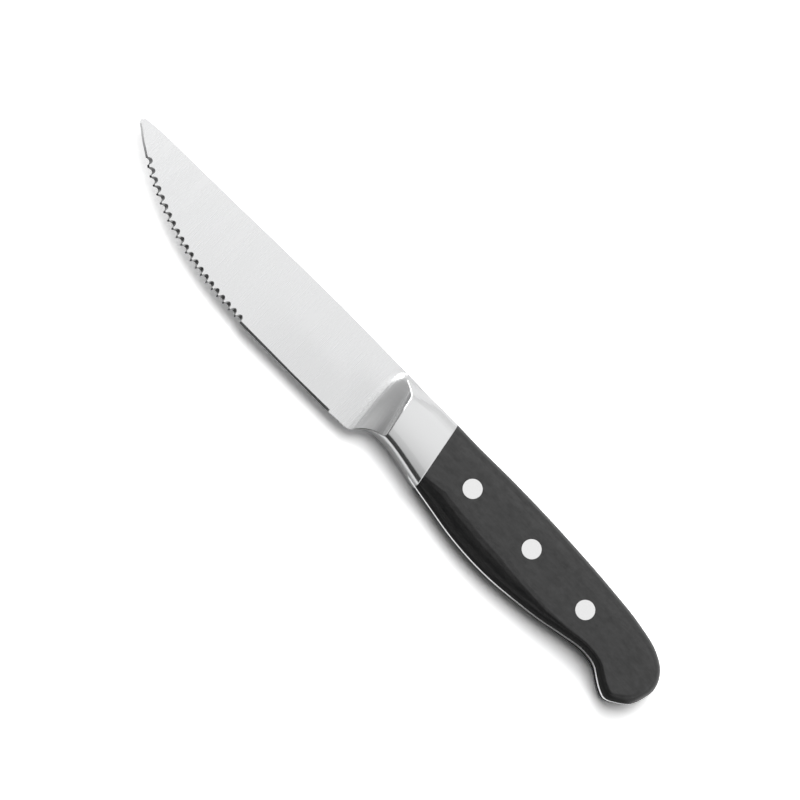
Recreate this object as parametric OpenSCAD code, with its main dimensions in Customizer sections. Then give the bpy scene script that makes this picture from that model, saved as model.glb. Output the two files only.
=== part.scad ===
// Forged steak knife with a full tang, a serrated blade and two riveted scales.
// It lies on its side: tip toward -X, butt toward +X, spine toward +Y, cutting edge toward -Y.
// The blank, the scales and the rivets are drawn in a frame of their own, with X measured from
// the tip, Y measured down from the highest point of the spine, and Z from the middle of the
// blade's thickness. placed() then sets them down with the middle of the footprint at zero.

/* [Blade] */
// Length of the blade, from the tip to the heel
blade_l = 114.3; // [105:0.1:122]
// Width of the blade, from the spine to the plain edge
blade_w = 26.8; // [24.5:0.1:28.5]
// Thickness of the spine where it meets the bolster
spine_t = 2.2; // [1.9:0.1:2.6]
// Thickness of the spine at the tip
tip_t = 1.6; // [1.3:0.1:1.8]
// Thickness behind the bevel of the plain edge
edge_t = 0.9; // [0.8:0.05:1.2]
// Width of the bevel along the cutting edge
bevel_w = 0.8; // [0.5:0.1:1.1]
// Thickness left at the cutting edge itself
edge_land = 0.1; // [0.05:0.05:0.2]

/* [Serrations] */
// Number of scallops in the row
scallop_n = 21; // [18:1:23]
// Length of the row, which ends where the plain edge starts
row_l = 58.1; // [50:0.1:59]
// Depth of a scallop in the outline of the blade
scallop_d = 1.2; // [0.8:0.1:1.5]
// Width of the ground facet in a scallop, seen from the upper face
facet_w = 0.95; // [0.6:0.05:1.2]
// Width of the tooth left between two scallops
tooth_w = 0.26; // [0.15:0.01:0.6]

/* [Bolster] */
// Length of the bolster along the spine, from the heel to the scales
bolster_l = 23.7; // [21:0.1:27]
// Depth of the bolster at its waist, below the highest point of the spine
bolster_d = 21.2; // [19.5:0.1:22.5]
// Radius of the scoop that thins the bolster down to the blade, where it is widest, at the waist
scoop_r = 19; // [16:0.5:22]
// Slant of the scoop and of the seam between bolster and scales, in degrees
slant = 10.4; // [6:0.2:13]

/* [Handle] */
// Length of the handle along the spine, from the bolster to the butt
handle_l = 102; // [92:0.5:112]
// Depth of the handle, from the highest point of the spine to the beak
handle_d = 29.2; // [27:0.1:31]
// Thickness of the handle and the bolster, face to face
handle_t = 13; // [11:0.5:15]
// Thickness of the tang between the scales
tang_t = 2.4; // [2:0.1:3]
// How far the rounding reaches into the face of a scale, where it is widest, on the belly
round_w = 8.8; // [6.5:0.1:9.5]

/* [Rivets] */
// Diameter of a rivet's head
head_d = 6.35; // [5.5:0.05:8]
// Thickness of a rivet's head, which is the depth of its counterbore
head_h = 1.6; // [1.2:0.1:2.4]
// Outer diameter of the rivet's hollow half
barrel_d = 4.2; // [3.8:0.1:5]
// Diameter of the rivet's solid half, and of the bore that it is pressed into
post_d = 2.8; // [2.2:0.1:3.2]
// Clearance around the rivet in the scales and the tang
rivet_gap = 0.05; // [0.02:0.01:0.2]

/* [Hidden] */
$fn = 64;

// Overrun of every cut past the surface that it cuts
over = 2;
// How far the bolster stands proud of the blade and the scales, so that its polish shows as an edge
proud = 0.05;
// How far the scoop dips below the blade's face inside the bolster
scoop_sink = 0.03;
// Power by which the scoop's radius grows from the spine to the waist
scoop_flare = 0.32;
// How far the tang and the blade reach into the bolster
tang_root = 0.3;
// Room left at the end of a rivet's post and barrel
rivet_end = 0.4;

// Samples on each stretch between two knots of an outline: odd, so that a ring has an even count
steps = 5;
// Rings from the tang out to the face of a scale, and flats on a scallop's arc
rings = 8;
arc_flats = 12;
// Rings along the scoop and flats on its arc
scoop_rings = 20;
scoop_flats = 22;
// Power of a rounding's curve, on the handle and along the bolster's underside: 2 is an ellipse,
// and more is squarer
round_power = 2.4;
under_power = 6;

// Knots of the cutting edge from the nose to the plain edge, as shares of blade length and width
edge_shares = [[0.006, 0.072], [0, 0.116], [0.005, 0.155], [0.0166, 0.19], [0.038, 0.262],
               [0.079, 0.379], [0.128, 0.52], [0.176, 0.616], [0.248, 0.745], [0.321, 0.842],
               [0.395, 0.913], [0.493, 0.974], [0.589, 1]];
// Where the plain edge ends, and the heel up to the bolster, as shares of the same
heel_shares = [[0.93, 1], [0.962, 0.989], [0.989, 0.986], [1.005, 0.971], [1.018, 0.922]];
// Underside of the bolster, as shares of its own length and depth
waist_shares = [[0.186, 1.066], [0.283, 1.014], [0.392, 1], [0.652, 1.024], [0.832, 1.062]];
// Handle from the belly round the beak and the butt to the spine, as shares of its length and
// depth, each with the width of the rounding there as a share of round_w
handle_shares = [[0.108, 0.87, 0.88], [0.233, 0.942, 1], [0.3725, 0.968, 0.96], [0.513, 0.932, 0.6],
                 [0.597, 0.894, 0.36], [0.68, 0.836, 0.2], [0.765, 0.795, 0.15],
                 [0.8176, 0.829, 0.15], [0.848, 0.899, 0.17], [0.878, 0.964, 0.19],
                 [0.907, 1, 0.2], [0.945, 0.942, 0.24], [0.9775, 0.849, 0.3],
                 [0.995, 0.706, 0.36], [1, 0.5925, 0.4], [0.995, 0.494, 0.44],
                 [0.972, 0.365, 0.5], [0.926, 0.257, 0.56], [0.833, 0.1695, 0.64],
                 [0.695, 0.112, 0.68], [0.51, 0.065, 0.68], [0.363, 0.043, 0.68],
                 [0.233, 0.035, 0.68], [0.098, 0.038, 0.68]];
// Height of the seam's two ends as shares of handle depth, and the rounding there
seam_share = 0.03;
seam_low_share = 0.829;
seam_round_share = 0.68;
seam_low_round_share = 0.54;
// Spine from the bolster to the tip, as shares of bolster length and depth, then of blade's
bolster_spine_shares = [[0.35, 0.0274]];
spine_shares = [[0.936, 0.009], [0.761, 0], [0.525, 0.0105], [0.318, 0.029], [0.181, 0.038],
                [0.044, 0.055], [0.006, 0.072]];
// Rounding at the front of the bolster, under it and along its spine, as shares of round_w
waist_round_share = 0.43;
shoulder_round_share = 0.71;
// Where along the bolster its front shoulder has turned into the rounding of the handle
shoulder_shares = [0.35, 0.8];
// Where the edge of the scoop on the bolster's outer face crosses the spine's level, and the
// scoop's smallest radius near the spine
scoop_share = 0.262;
scoop_least_share = 0.3;
// Bevel at the tip, and depth of the first and smallest scallop, as shares of the others
tip_bevel_share = 0.7;
first_scallop_share = 0.8;
// Rivets, as shares of handle length and depth
rivet_shares = [[0.1696, 0.442], [0.4275, 0.452], [0.6745, 0.507]];

function unit(v) = v / norm(v);
function mix(a, b, t) = a + (b - a) * t;
function reversed(v) = [for (i = [len(v) - 1:-1:0]) v[i]];
function slice(v, a, b) = [for (i = [a:b]) v[i]];

// Direction of a smooth curve at one of its knots
function lean(k, i) =
    i == 0 ? unit(k[1] - k[0])
    : i == len(k) - 1 ? unit(k[i] - k[i - 1])
    : let (a = k[i] - k[i - 1], b = k[i + 1] - k[i])
      (a * norm(b) / norm(a) + b * norm(a) / norm(b)) / (norm(a) + norm(b));

// Point at share u of the stretch from p to q, where m and n are the slopes at its two ends
function between(p, q, m, n, u) =
    p * (1 + 2 * u) * (1 - u) * (1 - u) + m * u * (1 - u) * (1 - u)
    + q * u * u * (3 - 2 * u) - n * u * u * (1 - u);

// Smooth curve through knots
function curve(k) =
    [for (i = [0:len(k) - 2], j = [0:steps - 1]) let (l = norm(k[i + 1] - k[i]))
        between(k[i], k[i + 1], lean(k, i) * l, lean(k, i + 1) * l, j / steps),
     k[len(k) - 1]];

// Values spread evenly between the values at the knots
function spread(v) =
    [for (i = [0:len(v) - 2], j = [0:steps - 1]) mix(v[i], v[i + 1], j / steps), v[len(v) - 1]];

// Knots in millimetres from shares of a stretch that starts at x
function knots(shares, x, l, d) = [for (s = shares) [x + s[0] * l, -s[1] * d]];

// Seam between bolster and scales
seam_x = blade_l + bolster_l;
seam_top = [seam_x, -seam_share * handle_d];
seam_low_y = -seam_low_share * handle_d;
seam_low = [seam_x + tan(slant) * (seam_top[1] - seam_low_y), seam_low_y];

// One smooth line runs from the heel along the underside, round the butt and back to the nose
heel_knots = concat(knots(heel_shares, 0, blade_l, blade_w),
                    knots(waist_shares, blade_l, bolster_l, bolster_d), [seam_low]);
handle_knots = concat(knots(handle_shares, seam_x, handle_l, handle_d), [seam_top]);
spine_knots = concat(knots(bolster_spine_shares, blade_l, bolster_l, bolster_d),
                     knots(spine_shares, 0, blade_l, blade_w));
body_line = curve(concat(heel_knots, handle_knots, spine_knots));
seam_low_i = (len(heel_knots) - 1) * steps;
seam_top_i = seam_low_i + len(handle_knots) * steps;
heel_line = slice(body_line, 0, seam_low_i);
handle_line = slice(body_line, seam_low_i, seam_top_i);
spine_line = slice(body_line, seam_top_i, len(body_line) - 2);
cut_line = curve(knots(edge_shares, 0, blade_l, blade_w));
ground_line = concat(cut_line, [heel_line[0]]);

// Footprint of the whole knife
outline_x = [for (p = concat(cut_line, body_line)) p[0]];
outline_y = [for (p = concat(cut_line, body_line)) p[1]];
middle_x = (min(outline_x) + max(outline_x)) / 2;
middle_y = (min(outline_y) + max(outline_y)) / 2;

module placed() {
    translate([-middle_x, -middle_y, handle_t / 2]) children();
}

// Rounding of bolster and scales, ring by ring: share of the inset, and height above the middle
function rounded(k, power) = 1 - pow(cos(90 * k / rings), 2 / power);
function ring_z(k, power) = mix(tang_t, handle_t, pow(sin(90 * k / rings), 2 / power)) / 2;
function ease(t) = t <= 0 ? 0 : t >= 1 ? 1 : t * t * (3 - 2 * t);

// Closed solid through rings of points, each with an even count
module skin(loops) {
    n = len(loops[0]);
    last = (len(loops) - 1) * n;
    sides = [for (j = [0:len(loops) - 2], i = [0:n - 1])
        let (a = j * n + i, b = j * n + (i + 1) % n)
        each [[a, b + n, b], [a, a + n, b + n]]];
    first_cap = [for (i = [0:n / 2 - 2])
        each [[i, i + 1, n - 1 - i], [i + 1, n - 2 - i, n - 1 - i]]];
    last_cap = [for (f = first_cap) [last + f[0], last + f[2], last + f[1]]];
    polyhedron(points = [for (loop = loops) each loop],
               faces = concat(sides, first_cap, last_cap), convexity = 6);
}

// Taper of the blade: its faces lean from spine to edge, and from bolster to tip
edge_lean = atan((spine_t - edge_t) / 2 / blade_w);
tip_lean = atan((spine_t - tip_t) / 2 / blade_l);
function face_z(p) =
    spine_t / 2 + tan(tip_lean) * (p[0] - blade_l) + tan(edge_lean) / cos(tip_lean) * p[1];

// Plane of the blade's upper face
module on_face() {
    translate([blade_l, 0, spine_t / 2]) rotate([edge_lean, -tip_lean, 0]) children();
}

// Turns what is drawn along the spine so that it stands along the seam
module slanted() {
    multmatrix([[1, -tan(slant), 0, 0], [0, 1, 0, 0], [0, 0, 1, 0], [0, 0, 0, 1]]) children();
}

module both_sides() {
    children();
    mirror([0, 0, 1]) children();
}

module above_face() {
    reach = 2 * blade_l;
    on_face() translate([-reach, -reach, 0]) cube([2 * reach, 2 * reach, spine_t]);
}

// Direction of the ground edge at a point of it, and the way from there into the blade
function run(i) =
    unit(ground_line[min(i + 1, len(ground_line) - 1)] - ground_line[max(i - 1, 0)]);
function inward(i) = [-run(i)[1], run(i)[0]];

// Wedge that grinds the bevel on the upper face, one ring for each point of the edge
module bevel() {
    first = 2 * steps;
    skin([for (i = [first:len(ground_line) - 1])
        let (p = ground_line[i],
             w = bevel_w * mix(tip_bevel_share, 1, min(1, p[0] / row_l)),
             rise = (face_z(p + inward(i) * w) - edge_land / 2) / w,
             deep = p + inward(i) * 2 * w,
             out = p - inward(i) * w)
        [[deep[0], deep[1], edge_land / 2 + 2 * w * rise],
         [deep[0], deep[1], handle_t],
         [out[0], out[1], handle_t],
         [out[0], out[1], edge_land / 2 - w * rise]]]);
}

// One scallop, ground from the upper face with its cutter leaning over
module scallop(x, depth) {
    pitch = row_l / scallop_n;
    r = (pitch - tooth_w) / 2;
    y = lookup(x, cut_line);
    slope = (lookup(x + pitch / 2, cut_line) - lookup(x - pitch / 2, cut_line)) / pitch;
    cutter_lean = atan(facet_w / 2 / face_z([x, y]));
    centre = (depth + facet_w / 2) * cos(cutter_lean) - r;
    arc = [for (i = [0:arc_flats])
        r * [cos(180 * i / arc_flats), sin(180 * i / arc_flats)] + [0, centre]];
    translate([x, y, 0]) rotate([0, 0, atan(slope)]) rotate([-cutter_lean, 0, 0])
        linear_extrude(height = 2 * spine_t + 2 * over, center = true)
            polygon(concat(arc, [[-r, -over], [r, -over]]));
}

module serrations() {
    pitch = row_l / scallop_n;
    row_x = cut_line[len(cut_line) - 1][0] - row_l;
    for (i = [0:scallop_n - 1])
        scallop(row_x + (i + 0.5) * pitch, scallop_d * (i == 0 ? first_scallop_share : 1));
}

module blade() {
    root_x = seam_x - bolster_l / 2;
    outline = concat(cut_line,
                     [for (p = heel_line) if (p[0] < root_x) p],
                     [for (p = spine_line) if (p[0] < root_x) p]);
    difference() {
        linear_extrude(height = spine_t, center = true) polygon(outline);
        both_sides() above_face();
        both_sides() bevel();
        serrations();
    }
}

// Edge of the scoop on the bolster's outer face, at the spine's level
scoop_x = blade_l + scoop_share * bolster_l;
// Depth of the scoop, and its radius and the reach of its arc at depth d below the spine
scoop_h = handle_t / 2 - face_z([scoop_x, 0]) + scoop_sink;
function scoop_radius(d) =
    scoop_r * max(scoop_least_share, pow(max(0, d) / bolster_d, scoop_flare));
function scoop_reach(d) =
    let (r = scoop_radius(d)) r > scoop_h ? sqrt((2 * r - scoop_h) * scoop_h) : r;

// Where a slanted line that starts at x on the spine's level meets a line of the outline
function meets(line, x, tries = 6, at = undef) =
    tries == 0 ? at
    : meets(line, x, tries - 1, x - tan(slant) * lookup(is_undef(at) ? x : at, line));

// Section of the bolster between two points of its outline, each with the width of its rounding,
// and at the top how far it still swells as a shoulder
function bolster_ring(low, top, low_w, top_w, swell) =
    let (up = unit(top - low),
         tops = [for (k = [0:rings])
             let (p = top - up * top_w * mix(rounded(k, round_power), k / rings, swell),
                  swollen_z = mix(tang_t, handle_t, ease(k / rings)) / 2)
             [p[0], p[1], mix(ring_z(k, round_power), swollen_z, swell)]],
         lows = [for (k = [rings:-1:0])
             let (p = low + up * low_w * rounded(k, under_power))
             [p[0], p[1], ring_z(k, under_power)]],
         near = concat(tops, lows))
    concat(near, reversed([for (p = near) [p[0], p[1], -p[2]]]));

// Cutter of the scoop on the upper side, in the plane of the blade's face
module scoop() {
    deepest = blade_w + over;
    skin([for (j = [0:scoop_rings])
        let (t = j / scoop_rings,
             d = mix(-over, deepest, t * t),
             r = scoop_radius(d),
             x = scoop_x - blade_l - scoop_reach(d),
             arc = [for (i = [0:scoop_flats])
                 let (a = 90 * i / scoop_flats)
                 [x + r * sin(a), -d, r * (1 - cos(a)) - scoop_sink]])
        concat([[-bolster_l, -d, -scoop_sink]], arc,
               [[x + r, -d, handle_t], [-bolster_l, -d, handle_t]])]);
}

module bolster() {
    stations = 32;
    front_x = scoop_x - scoop_reach(bolster_d);
    top_x = meets(spine_line, front_x);
    low_x = meets(heel_line, front_x);
    difference() {
        skin([for (j = [0:stations])
            let (t = j / stations,
                 tx = mix(top_x, seam_top[0], t),
                 lx = mix(low_x, seam_low[0], t),
                 top = [tx, lookup(tx, spine_line) + proud],
                 low = [lx, lookup(lx, heel_line) - proud],
                 e = ease((t - shoulder_shares[0]) / (shoulder_shares[1] - shoulder_shares[0])))
            bolster_ring(low, top, round_w * mix(waist_round_share, seam_low_round_share, t),
                         round_w * mix(shoulder_round_share, seam_round_share, e), 1 - e)]);
        both_sides() on_face() slanted() scoop();
    }
}

module tang() {
    low_x = seam_low[0] - tang_root;
    top_x = seam_top[0] - tang_root;
    linear_extrude(height = tang_t, center = true)
        polygon(concat([[low_x, lookup(low_x, heel_line)]], handle_line,
                       [[top_x, lookup(top_x, spine_line)]]));
}

rivet_places = knots(rivet_shares, seam_x, handle_l, handle_d);

module at_rivet(i) {
    translate(rivet_places[i]) children();
}

module rivet_hole() {
    cylinder(h = handle_t + 2 * over, d = barrel_d + 2 * rivet_gap, center = true);
}

// Blade, bolster and tang, forged from one piece of steel
module blank() {
    color("lightsteelblue") placed() difference() {
        union() {
            blade();
            bolster();
            tang();
        }
        for (i = [0:len(rivet_places) - 1]) at_rivet(i) rivet_hole();
    }
}

// Rounding at every point of the handle's outline, as a share of round_w
round_shares = spread(concat([seam_low_round_share], [for (s = handle_shares) s[2]],
                             [seam_round_share]));
seam_up = unit(seam_top - seam_low);
function handle_in(i) =
    i == 0 ? seam_up
    : i == len(handle_line) - 1 ? -seam_up
    : let (d = unit(handle_line[i + 1] - handle_line[i - 1])) [-d[1], d[0]];

// One scale, from the tang's upper face to the outer face of the handle
module scale_side() {
    difference() {
        skin([for (k = [0:rings]) [for (i = [0:len(handle_line) - 1])
            let (inset = round_w * round_shares[i] * rounded(k, round_power),
                 p = handle_line[i] + handle_in(i) * inset)
            [p[0], p[1], ring_z(k, round_power)]]]);
        for (i = [0:len(rivet_places) - 1]) at_rivet(i) {
            rivet_hole();
            translate([0, 0, handle_t / 2 - head_h])
                cylinder(h = head_h + over, d = head_d + 2 * rivet_gap);
        }
    }
}

module upper_scale() {
    color("dimgray") placed() scale_side();
}

module lower_scale() {
    color("dimgray") placed() mirror([0, 0, 1]) scale_side();
}

// Hollow half of a rivet, with its head flush in the lower scale
module rivet_barrel(i) {
    color("gainsboro") placed() at_rivet(i) translate([0, 0, -handle_t / 2]) difference() {
        union() {
            cylinder(h = head_h, d = head_d);
            cylinder(h = handle_t - head_h - rivet_end, d = barrel_d);
        }
        translate([0, 0, head_h]) cylinder(h = handle_t, d = post_d);
    }
}

// Solid half of a rivet, pressed into the hollow one, with its head flush in the upper scale
module rivet_post(i) {
    color("gainsboro") placed() at_rivet(i) translate([0, 0, handle_t / 2]) {
        translate([0, 0, -head_h]) cylinder(h = head_h, d = head_d);
        post_l = handle_t - head_h - rivet_end;
        translate([0, 0, -post_l]) cylinder(h = post_l, d = post_d);
    }
}

blank();
upper_scale();
lower_scale();
rivet_barrel(0);  // front_rivet_barrel
rivet_barrel(1);  // middle_rivet_barrel
rivet_barrel(2);  // rear_rivet_barrel
rivet_post(0);  // front_rivet_post
rivet_post(1);  // middle_rivet_post
rivet_post(2);  // rear_rivet_post
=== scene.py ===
"""Looks and studio for a forged steak knife with a scooped bolster and black riveted scales."""

import logging
import math
from dataclasses import dataclass, field
from enum import Enum
from typing import Mapping, Optional, Sequence, Union

import bmesh
import bpy
from mathutils import Matrix, Vector


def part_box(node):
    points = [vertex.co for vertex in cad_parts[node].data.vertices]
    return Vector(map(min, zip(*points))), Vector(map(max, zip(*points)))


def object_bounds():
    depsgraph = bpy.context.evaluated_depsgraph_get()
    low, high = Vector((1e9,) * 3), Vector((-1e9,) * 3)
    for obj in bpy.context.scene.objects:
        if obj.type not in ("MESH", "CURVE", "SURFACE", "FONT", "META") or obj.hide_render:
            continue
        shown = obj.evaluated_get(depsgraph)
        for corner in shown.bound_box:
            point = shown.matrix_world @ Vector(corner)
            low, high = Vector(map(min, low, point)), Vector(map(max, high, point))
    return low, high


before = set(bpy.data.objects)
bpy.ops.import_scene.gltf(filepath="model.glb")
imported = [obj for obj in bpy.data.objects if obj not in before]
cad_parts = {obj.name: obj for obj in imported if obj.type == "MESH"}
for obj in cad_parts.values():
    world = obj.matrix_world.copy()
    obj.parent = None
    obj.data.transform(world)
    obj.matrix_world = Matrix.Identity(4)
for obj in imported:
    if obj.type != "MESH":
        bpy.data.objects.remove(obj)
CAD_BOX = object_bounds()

LOG = logging.getLogger("steak_knife")
MM = 0.001

# Numbers of a Mix node's sockets, because their names repeat for each kind of value
MIX_SHARE = 0
MIX_VECTORS = (4, 5)
MIX_COLOURS = (6, 7)
MIXED_VECTOR = 1
MIXED_COLOUR = 2

BEVEL_SAMPLES = 8
BUMP_STRENGTH = 0.5
NOISE_MEAN = 0.5
# Strength that the camera sees as white
WHITE = 1.0

Number = Union[int, float]
Value = Union["Wire", Number, Sequence[float]]
# The value that gives 0 in a smooth step, and the one that gives 1
Ramp = tuple[float, float]


class Slot(Enum):
    """Material slots of the record, which each piece carries along without reading them."""

    STEEL = "blade_steel"
    SCALE = "scale_black"
    RIVET = "rivet_steel"


class Op(Enum):
    """Math operations that a Wire can add to its tree."""

    ADD = "ADD"
    SUBTRACT = "SUBTRACT"
    MULTIPLY = "MULTIPLY"
    POWER = "POWER"
    MINIMUM = "MINIMUM"
    MAXIMUM = "MAXIMUM"
    ABSOLUTE = "ABSOLUTE"


class Ray(Enum):
    """Kinds of ray that the floor and the room tell apart."""

    CAMERA = "Is Camera Ray"
    GLOSSY = "Is Glossy Ray"
    TRANSMISSION = "Is Transmission Ray"


@dataclass(frozen=True)
class Wire:
    """A socket with a value, so that shader maths reads as plain expressions."""

    bench: "Bench"
    socket: bpy.types.NodeSocket

    def _join(self, op: Op, first: Value, second: Optional[Value] = None) -> "Wire":
        """Adds a Math node.

        Args:
            op: The operation.
            first: The value of its first socket.
            second: The value of its second socket, if it has one.

        Returns:
            The node's result.
        """
        sockets = {0: first} if second is None else {0: first, 1: second}
        return self.bench.add("ShaderNodeMath", {"operation": op.value}, sockets)

    def __add__(self, other: Value) -> "Wire":
        """Sum of the two."""
        return self._join(Op.ADD, self, other)

    def __radd__(self, other: Value) -> "Wire":
        """Sum of the two, from the right."""
        return self._join(Op.ADD, other, self)

    def __sub__(self, other: Value) -> "Wire":
        """Difference of the two."""
        return self._join(Op.SUBTRACT, self, other)

    def __rsub__(self, other: Value) -> "Wire":
        """Difference of the two, from the right."""
        return self._join(Op.SUBTRACT, other, self)

    def __mul__(self, other: Value) -> "Wire":
        """Product of the two."""
        return self._join(Op.MULTIPLY, self, other)

    def __rmul__(self, other: Value) -> "Wire":
        """Product of the two, from the right."""
        return self._join(Op.MULTIPLY, other, self)

    def __pow__(self, other: Value) -> "Wire":
        """The value raised to a power."""
        return self._join(Op.POWER, self, other)

    def __neg__(self) -> "Wire":
        """The value with its sign turned."""
        return self * -1

    def __abs__(self) -> "Wire":
        """The value without its sign."""
        return self._join(Op.ABSOLUTE, self)

    def least(self, other: Value) -> "Wire":
        """The smaller of the two."""
        return self._join(Op.MINIMUM, self, other)

    def most(self, other: Value) -> "Wire":
        """The larger of the two."""
        return self._join(Op.MAXIMUM, self, other)

    def step(self, low: Number, high: Number) -> "Wire":
        """Smooth step.

        Args:
            low: The value that gives 0.
            high: The value that gives 1.

        Returns:
            The stepped value.
        """
        return self.bench.add(
            "ShaderNodeMapRange",
            {"interpolation_type": "SMOOTHSTEP"},
            {"Value": self, "From Min": low, "From Max": high},
        )


@dataclass(frozen=True)
class Band:
    """A soft band along a coordinate, which opens over one ramp and closes over another."""

    opens: Ramp
    closes: Ramp

    def over(self, place: Wire) -> Wire:
        """1 inside the band and 0 outside it."""
        return place.step(*self.opens) * (1 - place.step(*self.closes))


@dataclass(frozen=True)
class Noise:
    """A noise whose grains have their own length along each axis, in millimetres."""

    grain: tuple[float, float, float]
    detail: float = 3
    rough: float = 0.5
    warp: float = 0


@dataclass(frozen=True)
class Surface:
    """Where a surface lies, in millimetres, and which way it faces in the shared frame."""

    axes: tuple[Wire, Wire, Wire]
    normal: Wire
    facing: tuple[Wire, Wire, Wire]


@dataclass
class Bench:
    """A node tree under construction."""

    tree: bpy.types.NodeTree

    @classmethod
    def taking(cls, owner: Union[bpy.types.Material, bpy.types.World]) -> "Bench":
        """Empties the node tree of a material or a world to build it anew.

        Args:
            owner: The material or world.

        Returns:
            Its bench.
        """
        owner.use_nodes = True
        owner.node_tree.nodes.clear()
        return cls(owner.node_tree)

    def node(
        self,
        kind: str,
        settings: Mapping[str, object] = {},
        sockets: Mapping[Union[str, int], Value] = {},
    ) -> bpy.types.Node:
        """Adds a node, sets it up and fills its sockets.

        Args:
            kind: The node's type.
            settings: Its properties.
            sockets: Values or wires, by the socket's name or number.

        Returns:
            The node.
        """
        made = self.tree.nodes.new(kind)
        for name, value in settings.items():
            setattr(made, name, value)
        for key, value in sockets.items():
            if isinstance(value, Wire):
                self.tree.links.new(value.socket, made.inputs[key])
            else:
                made.inputs[key].default_value = value
        return made

    def add(
        self,
        kind: str,
        settings: Mapping[str, object] = {},
        sockets: Mapping[Union[str, int], Value] = {},
        output: Union[str, int] = 0,
    ) -> Wire:
        """Adds a node and takes one of its outputs.

        Args:
            kind: The node's type.
            settings: Its properties.
            sockets: Values or wires of its inputs.
            output: The output's name or number.

        Returns:
            That output as a wire.
        """
        return Wire(self, self.node(kind, settings, sockets).outputs[output])

    def split(self, vector: Wire) -> tuple[Wire, Wire, Wire]:
        """The three parts of a vector."""
        parts = self.node("ShaderNodeSeparateXYZ", {}, {0: vector})
        return tuple(Wire(self, out) for out in parts.outputs)

    def join(self, *parts: Value) -> Wire:
        """A vector from its three parts."""
        return self.add("ShaderNodeCombineXYZ", {}, dict(enumerate(parts)))

    def axes(self) -> tuple[Wire, Wire, Wire]:
        """Adds the object coordinates.

        Returns:
            The three of them, in millimetres.
        """
        place = self.add("ShaderNodeTexCoord", output="Object")
        scale = {0: place, "Scale": 1 / MM}
        return self.split(self.add("ShaderNodeVectorMath", {"operation": "SCALE"}, scale))

    def surface(self) -> Surface:
        """The surface that the tree shades."""
        normal = self.add("ShaderNodeNewGeometry", output="Normal")
        return Surface(self.axes(), normal, self.split(normal))

    def rays(self, *kinds: Ray) -> tuple[Wire, ...]:
        """1 for rays of each kind and 0 for others."""
        paths = self.node("ShaderNodeLightPath")
        return tuple(Wire(self, paths.outputs[kind.value]) for kind in kinds)

    def noise(self, axes: Sequence[Wire], noise: Noise) -> Wire:
        """Noise around NOISE_MEAN.

        Args:
            axes: Coordinates in millimetres.
            noise: Its grain and how fine it is.

        Returns:
            The noise.
        """
        shares = (axis * (1 / length) for axis, length in zip(axes, noise.grain))
        sockets = {
            "Vector": self.join(*shares),
            "Scale": 1,
            "Detail": noise.detail,
            "Roughness": noise.rough,
            "Distortion": noise.warp,
        }
        return self.add("ShaderNodeTexNoise", {}, sockets)

    def bevel(self, radius: float) -> Wire:
        """Normal of the surface with its edges rounded by a radius in millimetres."""
        return self.add("ShaderNodeBevel", {"samples": BEVEL_SAMPLES}, {"Radius": radius * MM})

    def blend(self, share: Value, first: Value, second: Value) -> Wire:
        """Mixes two colours.

        Args:
            share: Weight of the second one.
            first: A colour.
            second: A colour.

        Returns:
            The mixed colour.
        """
        sockets = {MIX_SHARE: share, MIX_COLOURS[0]: first, MIX_COLOURS[1]: second}
        return self.add("ShaderNodeMix", {"data_type": "RGBA"}, sockets, MIXED_COLOUR)

    def lean(self, share: Wire, first: Wire, second: Wire) -> Wire:
        """Mixes two normals.

        Args:
            share: Weight of the second one.
            first: A normal.
            second: A normal.

        Returns:
            The mixed normal, of unit length.
        """
        sockets = {MIX_SHARE: share, MIX_VECTORS[0]: first, MIX_VECTORS[1]: second}
        mixed = self.add("ShaderNodeMix", {"data_type": "VECTOR"}, sockets, MIXED_VECTOR)
        return self.add("ShaderNodeVectorMath", {"operation": "NORMALIZE"}, {0: mixed})

    def span(self, axes: Sequence[Wire], place: tuple[float, float]) -> Wire:
        """Distance from an upright line.

        Args:
            axes: Coordinates in millimetres.
            place: Where the line stands, in millimetres.

        Returns:
            The distance in millimetres.
        """
        x, y = (axis - at for axis, at in zip(axes, place))
        return (x ** 2 + y ** 2) ** 0.5

    def bump(self, height: Wire, depth: float, under: Optional[Wire] = None) -> Wire:
        """Relief on the surface.

        Args:
            height: Height as a share of the depth.
            depth: Depth of the relief in millimetres.
            under: Normal that the relief lies on.

        Returns:
            The new normal.
        """
        sockets = {"Height": height, "Distance": depth * MM, "Strength": BUMP_STRENGTH}
        if under is not None:
            sockets["Normal"] = under
        return self.add("ShaderNodeBump", {}, sockets)


def toward(first: Value, second: Value, share: Wire) -> Wire:
    """The first value where the share is 0, and the second where it is 1."""
    return first + (second - first) * share


def grey(level: float) -> tuple[float, float, float, float]:
    """A neutral colour of that linear level."""
    return (level, level, level, 1)


@dataclass(frozen=True)
class Finish:
    """A finish that a piece can wear. Its lengths and places are in millimetres."""

    name: str

    def make(self) -> bpy.types.Material:
        """Builds the material.

        Returns:
            The material.
        """
        material = bpy.data.materials.new(self.name)
        bench = Bench.taking(material)
        shader = bench.add("ShaderNodeBsdfPrincipled", {}, self.sockets(bench))
        bench.node("ShaderNodeOutputMaterial", {}, {"Surface": shader})
        return material

    def sockets(self, bench: Bench) -> dict[str, Value]:
        """Values of the shader's sockets.

        Args:
            bench: The tree to build in.

        Returns:
            Values and wires by socket name.
        """
        raise NotImplementedError


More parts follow.
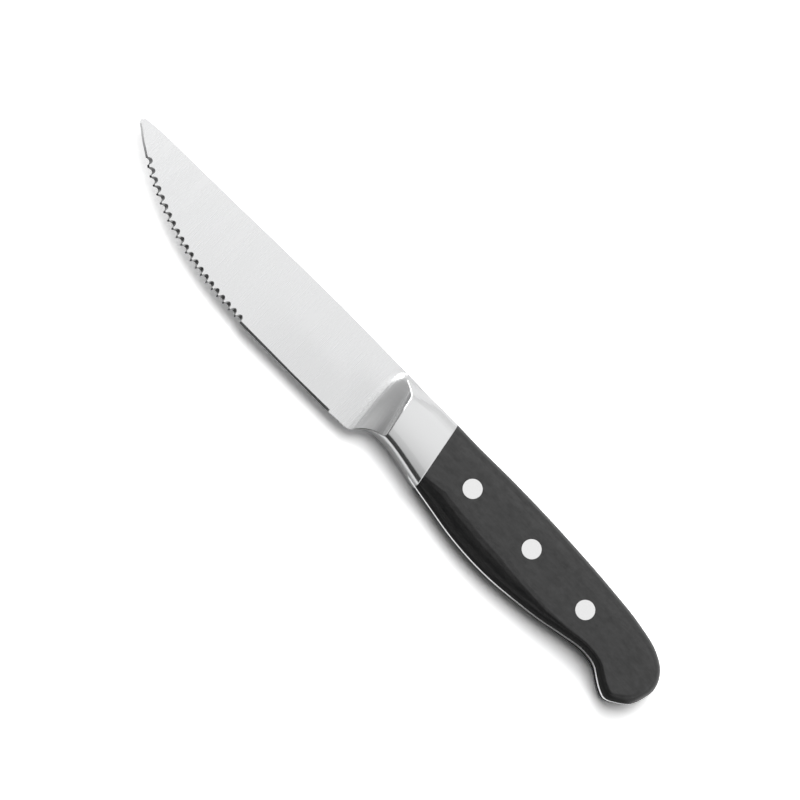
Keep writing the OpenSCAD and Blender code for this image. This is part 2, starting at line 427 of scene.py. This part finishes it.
@dataclass(frozen=True)
class ForgedSteel(Finish):
    """Stainless steel: brushed across on the blade, polished on the bolster, ground on the edge.

    The tang's edge is ground round between the scales. The crest between the bolster's scoop
    and its face is rolled over by polishing, and the face is crowned toward the belly. Its grey
    also carries painted shade on the blade and in the scallops, and painted light in the scoop
    and on the tang's edge.
    """

    # Where the brushed blade ends and the polished bolster begins
    heel_x: float
    seam_slant: float
    heel_blur: float = 1.5

    # Levels of the two
    blade_grey: float = 0.79
    bolster_grey: float = 0.72
    tint: tuple[float, float, float, float] = (0.995, 1, 1.005, 1)
    blade_rough: float = 0.27
    bolster_rough: float = 0.2

    # Marks of brushing and polishing, and how much each does
    brushing: Noise = Noise((0.12, 9, 3), 4, 0.62)
    waves: Noise = Noise((5, 14, 6), 2)
    flecks: Noise = Noise((0.35, 2.4, 1), 2, 0.5, 0.4)
    clouds: Noise = Noise((2.2, 2.2, 2.2), 4, 0.6)
    blade_tone: float = 0.92
    brush_tone: float = 0.07
    wave_tone: float = 0.08
    fleck_tone: float = 0.02
    bolster_tone: float = 0.97
    cloud_tone: float = 0.06
    brush_roughens: float = 0.1
    wave_roughens: float = 0.08
    cloud_roughens: float = 0.08
    brush_depth: float = 0.004

    # Painted shade: the rear of the blade darkens toward the cutting edge, and more so at its
    # root
    painted_edge_shade: float = 0.05
    painted_edge_shade_x: Ramp = (-60, -30)
    painted_edge_shade_y: Ramp = (-4, 4)
    painted_root_shade: float = 0.085
    painted_root_shade_x: Ramp = (-24, -8)
    painted_root_shade_y: Ramp = (0, 10)

    # Painted dark reflection on the ground facets of the scallops, told from the rest by the way
    # they face
    scallops_x: Band = Band((-110.7, -110.2), (-52.5, -52.0))
    scallop_painted_shade: float = 0.45
    tip_scallop_painted_shade: float = 0.75
    tip_reach: Ramp = (80, 108)
    spineward: Ramp = (0.5, 0.8)
    flat: Ramp = (0.8, 0.93)
    upward: Ramp = (0.02, 0.1)

    # Painted light: the low end of the bolster's scoop is brighter
    scoop_painted_light: float = 0.45
    scoop_x: Band = Band((-5, -2), (-1, 2.5))
    scoop_y: Ramp = (-8, 8)
    scoop_z: Ramp = (11.5, 12.5)
    scoop_upward: Ramp = (0.3, 0.6)

    # Edge of the tang between the scales: ground finish with painted highlight, dimmed by painted
    # shade along the rear of the handle up to the beak
    tang_grey_and_highlight: float = 0.95
    tang_from: Ramp = (18, 19)
    tang_z: float = 6.5
    tang_half: float = 1.2
    tang_rim: Ramp = (1, 1.06)
    tang_painted_shade: Band = Band((58, 74), (98, 106))
    tang_arch: float = 0.4
    tang_lean: float = 0.35

    # Corners and crowned face of the bolster
    edge_radius: float = 0.65
    crown: float = 0.0075
    crown_y: float = 6
    crown_z: Ramp = (12, 12.8)

    # Normal of the rolled crest between scoop and face, and where it lies
    crest: tuple[float, float, float] = (-0.209, 0.106, 0.972)
    crest_radius: float = 0.4
    crest_bend: Ramp = (0.003, 0.02)
    crest_lean: Ramp = (0.05, 0.2)
    crest_x: Band = Band((-6, -5), (5, 6))
    crest_y: Ramp = (1, 6)
    crest_z: Ramp = (8, 9)

    def sockets(self, bench: Bench) -> dict[str, Value]:
        """Values of the shader's sockets.

        Args:
            bench: The tree to build in.

        Returns:
            Values and wires by socket name.
        """
        at = bench.surface()
        along = at.axes[0] + at.axes[1] * math.tan(self.seam_slant)
        polished = along.step(self.heel_x - self.heel_blur, self.heel_x + self.heel_blur)
        brushed, waved, flecked, clouded = (
            bench.noise(at.axes, noise)
            for noise in (self.brushing, self.waves, self.flecks, self.clouds)
        )
        tone = self.blade_tone + self.brush_tone * brushed
        tone = tone + self.wave_tone * waved + self.fleck_tone * flecked
        # The blade's grey carries painted shade and the painted dark reflection of the scallops
        blade = self.blade_grey * self._painted_shade(at, along) * tone * self._painted_scallop_shade(at)
        polish = self.bolster_tone + self.cloud_tone * clouded
        # The bolster's grey carries painted light at the low end of the scoop
        bolster = self.bolster_grey * polish * self._painted_scoop_light(at)
        tang, dim, lean = self._tang(at)
        level = toward(blade, bolster, polished)
        # Painted highlight on the tang's edge, dimmed by painted shade along the rear of the
        # handle
        level = toward(level, toward(self.tang_grey_and_highlight, self.bolster_grey, dim), tang)
        blade_rough = self.blade_rough + self.brush_roughens * (brushed - NOISE_MEAN)
        blade_rough = blade_rough + self.wave_roughens * (waved - NOISE_MEAN)
        bolster_rough = self.bolster_rough + self.cloud_roughens * (clouded - NOISE_MEAN)
        under = self._normal(bench, at, polished, lean * tang)
        return {
            "Base Color": bench.blend(level, grey(0), self.tint),
            "Metallic": 1.0,
            "Roughness": toward(blade_rough, bolster_rough, polished),
            "Normal": bench.bump(brushed * (1 - polished), self.brush_depth, under),
        }

    def _painted_shade(self, at: Surface, along: Wire) -> Wire:
        """Painted shade: how the rear of the blade darkens toward the cutting edge, and more so
        at its root.

        Args:
            at: The surface.
            along: Coordinate that crosses the slanted seam.

        Returns:
            A factor for the blade's grey.
        """
        y = at.axes[1]
        edge = self.painted_edge_shade * along.step(*self.painted_edge_shade_x) * (1 - y.step(*self.painted_edge_shade_y))
        root = self.painted_root_shade * along.step(*self.painted_root_shade_x) * (1 - y.step(*self.painted_root_shade_y))
        return 1 - edge.most(root)

    def _painted_scallop_shade(self, at: Surface) -> Wire:
        """Painted dark reflection: how the ground facets of the scallops darken, most of all near
        the tip.

        Args:
            at: The surface.

        Returns:
            A factor for the blade's grey.
        """
        x = at.axes[0]
        _, ny, nz = at.facing
        tilted = (1 - ny.step(*self.spineward)) * (1 - nz.step(*self.flat))
        ground = self.scallops_x.over(x) * tilted * nz.step(*self.upward)
        # Painted dark reflection, stronger toward the tip
        shade = toward(self.scallop_painted_shade, self.tip_scallop_painted_shade, (-x).step(*self.tip_reach))
        return 1 - ground * shade

    def _painted_scoop_light(self, at: Surface) -> Wire:
        """Painted light: how the low end of the bolster's scoop brightens.

        Args:
            at: The surface.

        Returns:
            A factor for the bolster's grey.
        """
        x, y, z = at.axes
        hollow = self.scoop_x.over(x) * (1 - z.step(*self.scoop_z))
        low = (1 - y.step(*self.scoop_y)) * at.facing[2].step(*self.scoop_upward)
        return 1 + self.scoop_painted_light * hollow * low

    def _tang(self, at: Surface) -> tuple[Wire, Wire, Wire]:
        """Edge of the tang, where it shows between the scales.

        Args:
            at: The surface.

        Returns:
            Its mask, how much painted shade dims it, and how far its normal leans up.
        """
        x, _, z = at.axes
        off = (z - self.tang_z) * (1 / self.tang_half)
        mask = (1 - abs(off).step(*self.tang_rim)) * x.step(*self.tang_from)
        dim = self.tang_painted_shade.over(x)
        return mask, dim, (off * self.tang_arch + self.tang_lean) * (1 - dim)

    def _normal(self, bench: Bench, at: Surface, polished: Wire, tang_lean: Wire) -> Wire:
        """Normal with rounded corners, rolled crest, crowned face and arched tang.

        Args:
            bench: The tree to build in.
            at: The surface.
            polished: Mask of the bolster.
            tang_lean: How far the normal leans up on the tang's edge.

        Returns:
            The normal.
        """
        x, y, z = at.axes
        under = bench.lean(polished, at.normal, bench.bevel(self.edge_radius))
        rolled = bench.bevel(self.crest_radius)
        pair = {0: rolled, 1: at.normal}
        bend = bench.add("ShaderNodeVectorMath", {"operation": "DOT_PRODUCT"}, pair, "Value")
        tipward = -bench.split(rolled)[0]
        crest = (1 - bend).step(*self.crest_bend) * tipward.step(*self.crest_lean)
        crest = crest * self.crest_x.over(x) * y.step(*self.crest_y) * z.step(*self.crest_z)
        under = bench.lean(crest, under, bench.join(*self.crest))
        below = (self.crown_y - y).most(0) * z.step(*self.crown_z) * polished
        turn = bench.join(0, below * -self.crown, tang_lean)
        return bench.add("ShaderNodeVectorMath", {"operation": "ADD"}, {0: under, 1: turn})


@dataclass(frozen=True)
class MouldedBlack(Finish):
    """Black resin with a satin skin, a faint grain along the handle and dull belly walls."""

    # Crisp places, and the rounding of the other edges
    seam: float
    seam_slant: float
    holes: tuple[tuple[float, float], ...]
    hole_reach: float = 3.2
    edge_radius: float = 1.0
    clear_share: float = 1.2
    clear_blur: float = 0.2

    # Grain along the handle, mottling and specks, and how they tone the black
    grain: Noise = Noise((7, 0.5, 1.5), 4, 0.6, 0.3)
    mottle: Noise = Noise((2.5, 1.6, 2), 3, 0.55)
    specks: Noise = Noise((0.35, 0.35, 0.35), 2)
    tint: tuple[float, float, float, float] = (1.0, 1.0, 1.02, 1)
    level: float = 0.008
    level_tone: float = 0.3
    grain_tone: float = 0.7
    mottle_tone: float = 0.7

    # Roughness, which is higher on the walls toward the belly
    rough: float = 0.4
    mottle_roughens: float = 0.16
    grain_roughens: float = 0.1
    wall_rough: float = 0.95
    wall: Ramp = (0.5, 0.85)
    ior: float = 1.4

    # Satin skin, which fades at glancing angles, and less so toward the spine and the butt
    gloss: float = 0.85
    gloss_rough: float = 0.38
    gloss_tone: float = 0.15
    grain_gloss: float = 0.5
    mottle_gloss: float = 1.2
    glance_blend: float = 0.5
    glance: Ramp = (0.06, 0.36)
    sheen: float = 0.5
    sheen_turn: float = 0.7
    sheen_side: Ramp = (0.05, 0.35)

    # Depth of the relief and the parts in it
    relief: float = 0.012
    grain_relief: float = 0.5
    speck_relief: float = 0.3
    mottle_relief: float = 0.2

    def sockets(self, bench: Bench) -> dict[str, Value]:
        """Values of the shader's sockets.

        Args:
            bench: The tree to build in.

        Returns:
            Values and wires by socket name.
        """
        at = bench.surface()
        under = bench.lean(self._clear(bench, at), at.normal, bench.bevel(self.edge_radius))
        grain, mottle, specks = (
            bench.noise(at.axes, noise) for noise in (self.grain, self.mottle, self.specks)
        )
        tone = self.level_tone + self.grain_tone * grain + self.mottle_tone * mottle
        gloss = self.grain_gloss * grain + self.mottle_gloss * mottle + self.gloss_tone
        height = self.grain_relief * grain + self.speck_relief * specks
        height = height + self.mottle_relief * mottle
        rough = self.rough + self.mottle_roughens * (mottle - NOISE_MEAN)
        rough = rough + self.grain_roughens * (grain - NOISE_MEAN)
        wall = (-at.facing[1]).step(*self.wall)
        return {
            "Base Color": bench.blend(self.level * tone, grey(0), self.tint),
            "Roughness": toward(rough, self.wall_rough, wall),
            "IOR": self.ior,
            "Coat Weight": self.gloss * gloss * self._skin(bench, at),
            "Coat Roughness": self.gloss_rough,
            "Normal": bench.bump(height, self.relief, under),
        }

    def _clear(self, bench: Bench, at: Surface) -> Wire:
        """Where the edges are rounded: clear of the front seam and of the rivets.

        Args:
            bench: The tree to build in.
            at: The surface.

        Returns:
            The mask.
        """
        reach = self.edge_radius * self.clear_share
        seam = self.seam + reach
        along = at.axes[0] + at.axes[1] * math.tan(self.seam_slant)
        clear = along.step(seam, seam + self.clear_blur)
        rim = self.hole_reach + reach
        for hole in self.holes:
            clear = clear * bench.span(at.axes, hole).step(rim, rim + self.clear_blur)
        return clear

    def _skin(self, bench: Bench, at: Surface) -> Wire:
        """How the skin's gloss fades at glancing angles, and less so toward spine and butt.

        Args:
            bench: The tree to build in.
            at: The surface.

        Returns:
            A factor for the gloss.
        """
        nx, ny, _ = at.facing
        blend = {"Blend": self.glance_blend}
        glance = bench.add("ShaderNodeLayerWeight", {}, blend, "Facing").step(*self.glance)
        sheen = self.sheen * (nx * self.sheen_turn + ny).step(*self.sheen_side)
        return 1 - glance * (1 - sheen)


@dataclass(frozen=True)
class TurnedSteel(Finish):
    """Bright rivet steel with fine rings from turning and a few hairline scratches."""

    centres: tuple[tuple[float, float], ...]
    level: float = 0.8
    rough: float = 0.24
    hairs: Noise = Noise((3, 0.12, 1), 3, 0.6, 0.5)
    rings_per_mm: float = 9
    rings_detail: float = 3
    level_tone: float = 0.94
    ring_tone: float = 0.07
    hair_tone: float = 0.05
    ring_roughens: float = 0.12
    hair_roughens: float = 0.06
    relief: float = 0.003
    ring_relief: float = 0.6
    hair_relief: float = 0.4

    def sockets(self, bench: Bench) -> dict[str, Value]:
        """Values of the shader's sockets.

        Args:
            bench: The tree to build in.

        Returns:
            Values and wires by socket name.
        """
        axes = bench.axes()
        radius, *others = (bench.span(axes, centre) for centre in self.centres)
        for other in others:
            radius = radius.least(other)
        turning = {"W": radius * self.rings_per_mm, "Scale": 1, "Detail": self.rings_detail}
        rings = bench.add("ShaderNodeTexNoise", {"noise_dimensions": "1D"}, turning)
        hairs = bench.noise(axes, self.hairs)
        tone = self.level_tone + self.ring_tone * rings + self.hair_tone * hairs
        rough = self.rough + self.ring_roughens * (rings - NOISE_MEAN)
        rough = rough + self.hair_roughens * (hairs - NOISE_MEAN)
        height = rings * self.ring_relief + hairs * self.hair_relief
        return {
            "Base Color": bench.blend(self.level * tone, grey(0), grey(1)),
            "Metallic": 1.0,
            "Roughness": rough,
            "Normal": bench.bump(height, self.relief),
        }


@dataclass
class Piece:
    """A CAD node that keeps its shape and gets a finish."""

    node: str
    slot: Slot

    def dress(self, material: bpy.types.Material) -> None:
        """Puts the finish on the node.

        Args:
            material: The finish.
        """
        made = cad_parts[self.node]
        made.data.materials.clear()
        made.data.materials.append(material)
        LOG.info("%s wears %s", self.node, material.name)


@dataclass
class Blank:
    """Blade, bolster and tang, forged from one piece. The heel's place is in millimetres."""

    heel_x: float = -5.7
    seam_slant: float = math.radians(10.4)

    def dress(self) -> None:
        """Gives the forging its brushed and polished steel."""
        finish = ForgedSteel("forged_steel", self.heel_x, self.seam_slant)
        Piece("blank", Slot.STEEL).dress(finish.make())


@dataclass
class Scales:
    """The two slabs of the handle, with the places of their holes in millimetres."""

    holes: tuple[tuple[float, float], ...]
    seam_slant: float
    nodes: tuple[str, ...] = ("upper_scale", "lower_scale")

    def seam(self) -> float:
        """Finds the scales' front along the line that crosses their slanted seam.

        Returns:
            Its place in millimetres.
        """
        slope = math.tan(self.seam_slant)
        points = (v.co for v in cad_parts[self.nodes[0]].data.vertices)
        return min(point.x + point.y * slope for point in points) / MM

    def dress(self) -> None:
        """Gives both slabs the black resin."""
        finish = MouldedBlack("black_resin", self.seam(), self.seam_slant, self.holes)
        material = finish.make()
        for node in self.nodes:
            Piece(node, Slot.SCALE).dress(material)


@dataclass
class Rivets:
    """Three compression rivets, each a hollow and a solid half."""

    places: tuple[str, ...] = ("front", "middle", "rear")
    halves: tuple[str, ...] = ("post", "barrel")

    def centres(self) -> tuple[tuple[float, float], ...]:
        """Finds the middles of the rivets, seen from above.

        Returns:
            The place of each in millimetres.
        """
        boxes = [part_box(f"{place}_rivet_post") for place in self.places]
        middles = [(low + high) / (2 * MM) for low, high in boxes]
        return tuple((middle.x, middle.y) for middle in middles)

    def dress(self) -> None:
        """Gives every half the turned steel."""
        material = TurnedSteel("turned_steel", self.centres()).make()
        for place in self.places:
            for half in self.halves:
                Piece(f"{place}_rivet_{half}", Slot.RIVET).dress(material)


@dataclass
class Camera:
    """The photograph's camera: nearly straight above, turned by half a right angle.

    Its lengths are in metres, apart from the sensor's width, which is in millimetres.
    """

    target: Vector = field(default_factory=lambda: Vector((-0.3, 6.735, 6.5)) * MM)
    tilt: float = math.radians(12)
    distance: float = 1.2
    width: float = 250.94 * MM
    sensor: float = 36
    sight: float = 50

    def build(self) -> bpy.types.Object:
        """Builds the camera and makes it the scene's own.

        Returns:
            The camera.
        """
        back = Vector((0, -math.sin(self.tilt), math.cos(self.tilt)))
        across = Vector((0, math.cos(self.tilt), math.sin(self.tilt)))
        right = (Vector((1, 0, 0)) + across).normalized()
        up = back.cross(right)
        data = bpy.data.cameras.new("camera")
        data.sensor_width = self.sensor
        data.lens = self.sensor * self.distance / self.width
        data.clip_end = self.sight
        made = bpy.data.objects.new("camera", data)
        turn = Matrix((right, up, back)).transposed().to_4x4()
        made.matrix_world = Matrix.Translation(self.target + back * self.distance) @ turn
        bpy.context.scene.collection.objects.link(made)
        bpy.context.scene.camera = made
        LOG.info("camera at %s", tuple(made.location))
        return made


@dataclass(frozen=True)
class Panel:
    """A softbox, with a grid in front of it where it isn't to show in the steel.

    Its place and size are in metres.
    """

    name: str
    place: tuple[float, float, float]
    size: tuple[float, float]
    level: float
    shows: bool = True

    def build(self) -> None:
        """Builds the lamp, aimed at the knife."""
        data = bpy.data.lights.new(self.name, "AREA")
        data.shape = "RECTANGLE"
        data.size, data.size_y = self.size
        data.energy = self.level * math.pi * self.size[0] * self.size[1]
        made = bpy.data.objects.new(self.name, data)
        made.location = self.place
        made.rotation_euler = Vector(self.place).to_track_quat("Z", "Y").to_euler()
        made.visible_glossy = self.shows
        bpy.context.scene.collection.objects.link(made)
        LOG.info("lamp %s", self.name)


@dataclass
class Studio:
    """White floor, softboxes and the dim room around them.

    The floor's reach is in metres, and the reach of the painted light that thins the shadow
    toward the tip in millimetres. The room has levels of its own beyond the tip, in front of the
    cutting edge, low in front of it and behind the spine. Their ramps are parts of the direction
    that a ray takes.
    """

    panels: tuple[Panel, ...] = (
        Panel("key_panel", (-0.5, 0.52, 1.02), (0.3, 0.36), 5.0),
        Panel("gridded_panel", (-0.12, 0.36, 1.12), (0.7, 0.7), 4.5, shows=False),
    )

    floor_reach: float = 6.0
    floor_grey: float = 0.9
    floor_seen: float = 1.65
    floor_mirrored: float = 1.0
    fibre: Noise = Noise((1.2, 1.2, 1.2))
    fibre_base: float = 0.98
    fibre_tone: float = 0.02
    # Painted light on the floor that thins the shadow toward the tip
    painted_glow: float = 0.82
    painted_glow_reach: Ramp = (38, 130)

    room: float = 1.1
    tip_room: float = 0.49
    tip_x: Ramp = (0.18, 0.5)
    tip_y: float = 0.12
    tip_spread: Ramp = (0.2, 0.5)
    front_room: float = 0.06
    front_y: Ramp = (-0.14, 0.16)
    front_end: Ramp = (0.55, 0.68)
    low_front_room: float = 0.45
    low_z: Ramp = (0.1, 0.26)
    back_room: float = 0.9
    back_y: Ramp = (0.3, 1)

    def build(self) -> None:
        """Builds floor, lamps and world."""
        self._floor()
        for panel in self.panels:
            panel.build()
        self._world()

    def _floor(self) -> None:
        """Builds the floor that the knife lies on, at its lowest point."""
        mesh = bpy.data.meshes.new("floor")
        sheet = bmesh.new()
        bmesh.ops.create_grid(sheet, x_segments=1, y_segments=1, size=self.floor_reach)
        sheet.to_mesh(mesh)
        sheet.free()
        floor = bpy.data.objects.new("floor", mesh)
        floor.location.z = CAD_BOX[0][2]
        bpy.context.scene.collection.objects.link(floor)
        mesh.materials.append(self._paper())
        LOG.info("floor")

    def _paper(self) -> bpy.types.Material:
        """White paper: white to the camera and in mirrors, with painted light that thins its
        shadow toward the tip.

        Returns:
            The material.
        """
        material = bpy.data.materials.new("white_paper")
        bench = Bench.taking(material)
        axes = bench.axes()
        seen, mirrored, through = bench.rays(Ray.CAMERA, Ray.GLOSSY, Ray.TRANSMISSION)
        level = toward(self.floor_grey, self.floor_seen, seen)
        level = level + (self.floor_mirrored - self.floor_grey) * mirrored.most(through)
        level = (self.fibre_base + self.fibre_tone * bench.noise(axes, self.fibre)) * level
        colour = bench.add("ShaderNodeCombineColor", {}, {0: level, 1: level, 2: level})
        diffuse = bench.add("ShaderNodeBsdfDiffuse", {}, {"Color": colour})
        # Painted light: white for the camera, mixed in toward the tip so that the shadow thins
        # there
        white = bench.add("ShaderNodeEmission", {}, {"Color": grey(1), "Strength": WHITE})
        share = (-axes[0]).step(*self.painted_glow_reach) * self.painted_glow * seen
        paper = bench.add("ShaderNodeMixShader", {}, {0: share, 1: diffuse, 2: white})
        bench.node("ShaderNodeOutputMaterial", {}, {"Surface": paper})
        return material

    def _world(self) -> None:
        """Lights the room: white to the camera, and dim in front of the cutting edge.

        In mirrors the dim front ends toward the butt and is paler near the floor.
        """
        world = bpy.data.worlds.new("room")
        bpy.context.scene.world = world
        bench = Bench.taking(world)
        x, y, z = bench.split(bench.add("ShaderNodeTexCoord", output="Generated"))
        seen, mirrored = bench.rays(Ray.CAMERA, Ray.GLOSSY)
        front = (-y).step(*self.front_y) * (1 - x.step(*self.front_end) * mirrored)
        low = (1 - z.step(*self.low_z)) * mirrored
        tip = (-x).step(*self.tip_x) * (1 - abs(y - self.tip_y).step(*self.tip_spread))
        level = toward(self.room, self.tip_room, tip)
        level = toward(level, self.back_room, y.step(*self.back_y))
        level = toward(level, toward(self.front_room, self.low_front_room, low), front)
        sockets = {"Color": grey(1), "Strength": toward(level, WHITE, seen)}
        back = bench.add("ShaderNodeBackground", {}, sockets)
        bench.node("ShaderNodeOutputWorld", {}, {"Surface": back})
        LOG.info("room")


def main() -> None:
    """Dresses the knife and builds the studio around it."""
    logging.basicConfig(level=logging.INFO, format="%(message)s")
    bpy.context.scene.view_settings.view_transform = "Standard"
    Camera().build()
    blank = Blank()
    rivets = Rivets()
    blank.dress()
    Scales(rivets.centres(), blank.seam_slant).dress()
    rivets.dress()
    Studio().build()


if __name__ == "__main__":
    main()
